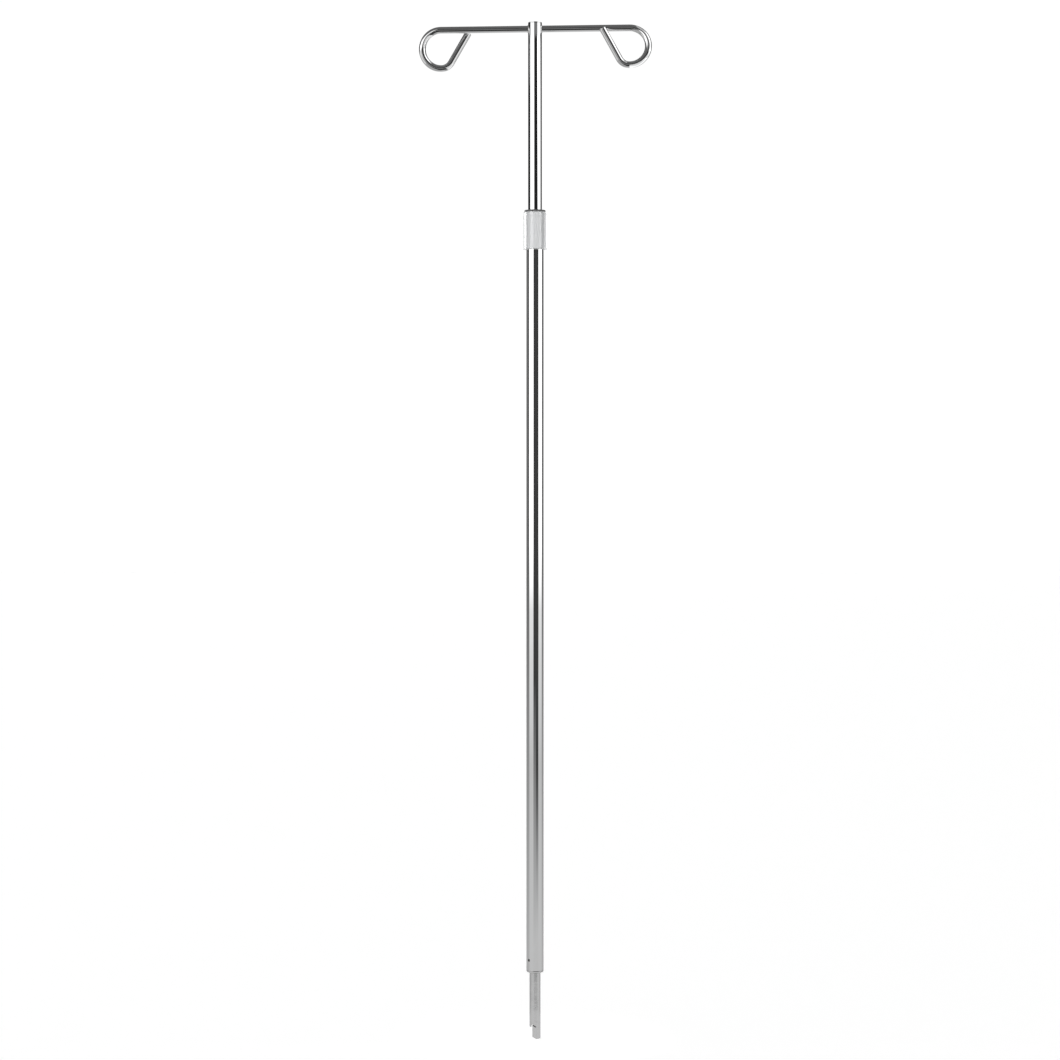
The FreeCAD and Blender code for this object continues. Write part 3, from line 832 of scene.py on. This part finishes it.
def brass():
    """Turned brass with a little tarnish."""
    material, tree, shader, place = start_material("cage_brass", Metallic=1.0)
    marks = noise(tree, place, 1400, (0.04, 0.04, 1), 4.0, 0.6)
    tarnish = noise(tree, place, 130, (1, 1, 1), 6.0, 0.6)
    tarnished = ranged(tree, tarnish, 0.42, 0.7)
    colour = blend_colours(tree, tarnished, (0.78, 0.58, 0.27, 1), (0.5, 0.35, 0.17, 1))
    rough = ranged(tree, marks, 0.3, 0.7, 0.2, 0.34)
    shade(tree, shader, colour, rough, bump(tree, marks, 12 * MICRON, 0.6))
    return material


MATERIALS = {
    "chrome_tube": polished("chrome_tube", (1, 1, 0.006), 0.80, 0.77, 0.012),
    "chrome_rod": polished("chrome_rod", (0.05, 1, 1), 0.79, 0.76, 0.015),
    "turned_steel": turned("turned_steel", 0.76, 0.70, 0.09, 0.14),
    "dark_steel": turned("dark_steel", 0.2, 0.13, 0.28, 0.42),
    "weld_bead": weld_metal(),
    "collar_plastic": moulded_plastic(),
    "bush_plastic": acetal(),
    "wiper_rubber": rubber(),
    "cage_brass": brass(),
}


def dress(piece, body, slot, *nodes):
    """Gives a new piece the material of its record slot and its body, and hides the CAD nodes that it stands
    for.
    """
    piece.data.materials.clear()
    piece.data.materials.append(MATERIALS[slot])
    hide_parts(*nodes)
    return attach(piece, body)


def dress_cad_nodes():
    """The CAD nodes that stay shown take the procedural material of their record slot."""
    for row in frame["record"]["subparts"]:
        node = frame["nodes"][row["node"]]
        if node.hide_render:
            continue
        node.data.materials.clear()
        node.data.materials.append(MATERIALS[row["material_slot"]])


# ---------------------------------------------------------------- studio

def past(tree, angle, edge, soft):
    """0 below an angle in degrees and 1 above it, with a soft edge; the edge may be a socket in radians."""
    at = edge if isinstance(edge, bpy.types.NodeSocket) else math.radians(edge)
    beyond = maths(tree, "SUBTRACT", angle, at)
    return ranged(tree, beyond, -math.radians(soft), math.radians(soft))


def between(tree, angle, low, high, soft):
    """1 between two angles and 0 outside them."""
    return maths(tree, "SUBTRACT", past(tree, angle, low, soft), past(tree, angle, high, soft))


def climb(tree, angle, low, high, start, end, smooth=False):
    """A level that changes from one value to another between two angles in degrees."""
    return ranged(tree, angle, math.radians(low), math.radians(high), start, end, smooth)


def mixed(tree, share, first, second):
    """Mixes two numbers; inputs 2 and 3 are the Mix node's number sockets."""
    node = tree.nodes.new("ShaderNodeMix")
    put(tree, node.inputs[0], share)
    put(tree, node.inputs[2], first)
    put(tree, node.inputs[3], second)
    return node.outputs[0]


def make_world():
    """A photographer's tent, which the polished metal reflects.

    It has white walls to the left and right, a dark gap between them at the front, a dark back with a
    tall window, a dim roof, and a grey carpet with a dark sector at the front.  Angles are measured from
    the front of the pole as the camera sees it, positive to the right and upwards.  The backdrop that the
    camera sees is plain white.
    """
    world = bpy.data.worlds.new("studio")
    bpy.context.scene.world = world
    world.use_nodes = True
    tree = world.node_tree
    place = tree.nodes.new("ShaderNodeTexCoord").outputs["Generated"]
    spin = tree.nodes.new("ShaderNodeVectorRotate")
    spin.rotation_type = "Z_AXIS"
    spin.inputs["Angle"].default_value = -CAMERA_TURN
    tree.links.new(place, spin.inputs["Vector"])
    split = tree.nodes.new("ShaderNodeSeparateXYZ")
    tree.links.new(spin.outputs[0], split.inputs[0])
    around = maths(tree, "ARCTAN2", split.outputs["X"], maths(tree, "MULTIPLY", split.outputs["Y"], -1.0))
    height = maths(tree, "ARCSINE", split.outputs["Z"])

    # where the walls end: the gap is narrower higher up
    gap_left = climb(tree, height, *TENT_STEP, math.radians(-21.0), math.radians(-14.5))
    gap_right = climb(tree, height, -5.0, -1.0, math.radians(45.5), math.radians(48.0))
    gap_right = maths(tree, "SUBTRACT", gap_right, climb(tree, height, 6.4, 10.5, 0.0, math.radians(9.5)))
    wall_left = climb(tree, height, *TENT_STEP, math.radians(-82.0), math.radians(-81.5))

    # how bright the walls, the gap and the back are at each height
    wall = climb(tree, height, -5.3, -1.8, 0.63, 0.95)
    wall = maths(tree, "ADD", wall, climb(tree, height, -1.8, -0.2, 0.0, 0.9))
    wall = maths(tree, "MULTIPLY", wall, climb(tree, height, *TENT_BAND, 1.0, 0.7))
    gap = climb(tree, height, *TENT_STEP, 0.055, 0.02)
    gap = maths(tree, "ADD", gap, climb(tree, height, *TENT_BAND, 0.0, 0.19))
    gap = maths(tree, "SUBTRACT", gap, climb(tree, height, 11.4, 11.8, 0.0, 0.16))
    left_glow = climb(tree, height, -9.3, -3.3, 0.56, 0.0)
    right_glow = climb(tree, height, -9.5, -5.0, 0.56, 0.0, True)
    gap = maths(tree, "ADD", gap, mixed(tree, past(tree, around, 12.0, 6.0), left_glow, right_glow))
    back = climb(tree, height, *TENT_STEP, 0.17, 0.045)
    back = maths(tree, "ADD", back, climb(tree, height, -9.5, -1.0, 0.34, 0.0))

    # the walls, then the gap over them, the roof and the carpet
    tent = mixed(tree, between(tree, around, wall_left, 0.0, 1.0), back, wall)
    tent = mixed(tree, between(tree, around, *RIGHT_WALL, 1.0), tent, wall)
    tent = mixed(tree, between(tree, around, gap_left, gap_right, 1.2), tent, gap)
    roof_foot = climb(tree, around, 20.0, 60.0, math.radians(24.0), math.radians(56.0))
    tent = mixed(tree, past(tree, height, roof_foot, 7.0), tent, ROOF_LEVEL)
    carpet = climb(tree, height, -74.0, -58.0, 0.6, 0.04, True)
    carpet = mixed(tree, between(tree, around, *CARPET_SECTOR, 6.0), CARPET_LEVEL, carpet)
    tent = mixed(tree, past(tree, height, CARPET_TOP, 0.5), carpet, tent)

    # a tall window behind the pole, which shows from the back and hardly at all from the front
    window = past(tree, maths(tree, "ABSOLUTE", around), WINDOW_EDGE, 3.0)
    window = maths(tree, "MULTIPLY", window, between(tree, height, *WINDOW_HEIGHTS, 4.0))
    tent = mixed(tree, window, tent, WINDOW_LEVEL)

    # matt surfaces are lit from the left, and the camera sees the backdrop
    soft = climb(tree, around, -100.0, 80.0, 0.6, 0.04, True)
    path = tree.nodes.new("ShaderNodeLightPath")
    light = mixed(tree, path.outputs["Is Diffuse Ray"], tent, soft)
    light = mixed(tree, path.outputs["Is Camera Ray"], light, BACKDROP)
    background = tree.nodes["Background"]
    background.inputs["Color"].default_value = (1, 1, 1, 1)
    tree.links.new(light, background.inputs["Strength"])


def make_floor():
    """Plain white floor below the spigot's tip; the polished metal sees the tent's floor instead."""
    reach = FLOOR_REACH
    corners = [(-reach, -reach, 0), (reach, -reach, 0), (reach, reach, 0), (-reach, reach, 0)]
    mesh = bpy.data.meshes.new("studio_floor")
    mesh.from_pydata(corners, [], [(0, 1, 2, 3)])
    floor = bpy.data.objects.new("studio_floor", mesh)
    floor.location.z = FLOOR_Z
    floor.visible_glossy = False
    bpy.context.scene.collection.objects.link(floor)
    paint, tree, shader, place = start_material("floor_paint", Roughness=0.9)
    cloud = noise(tree, place, 2.0, (1, 1, 1), 3.0, 0.5)
    put(tree, shader.inputs["Base Color"], blend_colours(tree, cloud, grey(0.93), grey(0.95)))
    shader.inputs["Emission Color"].default_value = (1, 1, 1, 1)
    shader.inputs["Emission Strength"].default_value = FLOOR_GLOW
    mesh.materials.append(paint)


def make_floor_card():
    """Round white card under the pole, which the polished metal sees close by; the camera doesn't."""
    made = bmesh.new()
    bmesh.ops.create_circle(made, cap_ends=True, segments=64, radius=FLOOR_CARD_R)
    mesh = bpy.data.meshes.new("floor_card")
    made.to_mesh(mesh)
    made.free()
    card = bpy.data.objects.new("floor_card", mesh)
    card.location.z = FLOOR_CARD_Z
    card.visible_camera = False
    card.visible_diffuse = False
    card.visible_shadow = False
    bpy.context.scene.collection.objects.link(card)
    paint, tree, shader, place = start_material("card_paint", Roughness=0.9, Base_Color=(0, 0, 0, 1))
    cloud = noise(tree, place, 2.0, (1, 1, 1), 3.0, 0.5)
    shader.inputs["Emission Color"].default_value = (1, 1, 1, 1)
    put(tree, shader.inputs["Emission Strength"], ranged(tree, cloud, 0.0, 1.0, 0.58, 0.62, False))
    mesh.materials.append(paint)


def lamp_group(name, receiver):
    """A collection that holds the one piece which its lamps shine on."""
    group = bpy.data.collections.new(name)
    group.objects.link(receiver)
    return group


def make_lamp(name, group, width, height, radiance, place, turn):
    """A rectangle of even light that only the pieces in a group reflect."""
    data = bpy.data.lights.new(name, "AREA")
    data.shape = "RECTANGLE"
    data.size = width
    data.size_y = height
    data.energy = radiance * math.pi * width * height
    lamp = bpy.data.objects.new(name, data)
    lamp.location = place
    lamp.rotation_euler = turn
    lamp.visible_diffuse = False
    lamp.visible_camera = False
    lamp.light_linking.receiver_collection = group
    bpy.context.scene.collection.objects.link(lamp)


def make_panels(receiver):
    """The gloss panels that the collar reflects; each faces the pole and spans its two angles."""
    group = lamp_group("collar_panels", receiver)
    for i, (low, high, radiance) in enumerate(PANELS):
        middle = math.radians((low + high) / 2) + CAMERA_TURN
        width = 2 * PANEL_DISTANCE * math.tan(math.radians((high - low) / 2))
        out = Vector((math.sin(middle), -math.cos(middle), 0))
        place = out * PANEL_DISTANCE + Vector((0, 0, PANEL_Z))
        turn = (-out).to_track_quat("-Z", "Y").to_euler()
        make_lamp(f"panel_{i}", group, width, PANEL_HEIGHT, radiance, place, turn)


def make_hook_cards(receiver):
    """The white cards beside, under and over the hooks, which only the hook bar reflects."""
    group = lamp_group("hook_cards", receiver)
    for i, (offset, turn, across, along, radiance) in enumerate(HOOK_CARDS):
        place = Vector(offset) + Vector((0, 0, ROD_Z))
        make_lamp(f"hook_card_{i}", group, across, along, radiance, place, (0, math.radians(turn), 0))


def make_camera():
    """Level camera that looks straight ahead from CAMERA_TURN round the pole."""
    data = bpy.data.cameras.new("camera")
    data.lens = CAMERA_LENS
    data.sensor_width = CAMERA_SENSOR
    data.dof.use_dof = False
    data.clip_end = CAMERA_REACH
    camera = bpy.data.objects.new("camera", data)
    right = Vector((math.cos(CAMERA_TURN), math.sin(CAMERA_TURN), 0))
    back = Vector((math.sin(CAMERA_TURN), -math.cos(CAMERA_TURN), 0))
    camera.location = back * CAMERA_DISTANCE + right * CAMERA_ASIDE + Vector((0, 0, CAMERA_HEIGHT))
    camera.rotation_euler = (math.pi / 2, 0, CAMERA_TURN)
    bpy.context.scene.collection.objects.link(camera)
    bpy.context.scene.camera = camera


make_camera()
make_world()
make_floor()
make_floor_card()
bpy.context.scene.view_settings.view_transform = "Standard"
bpy.context.scene.view_settings.look = "None"

make_lower_tube()
make_spigot()
make_roll_pin()
make_panels(make_collar())
make_base_ring()
make_wiper()
make_spring()
make_upper_tube()
make_top_cap()
make_hook_cards(make_hook_bar())
make_hook_welds()
dress_cad_nodes()

bpy.context.view_layer.update()
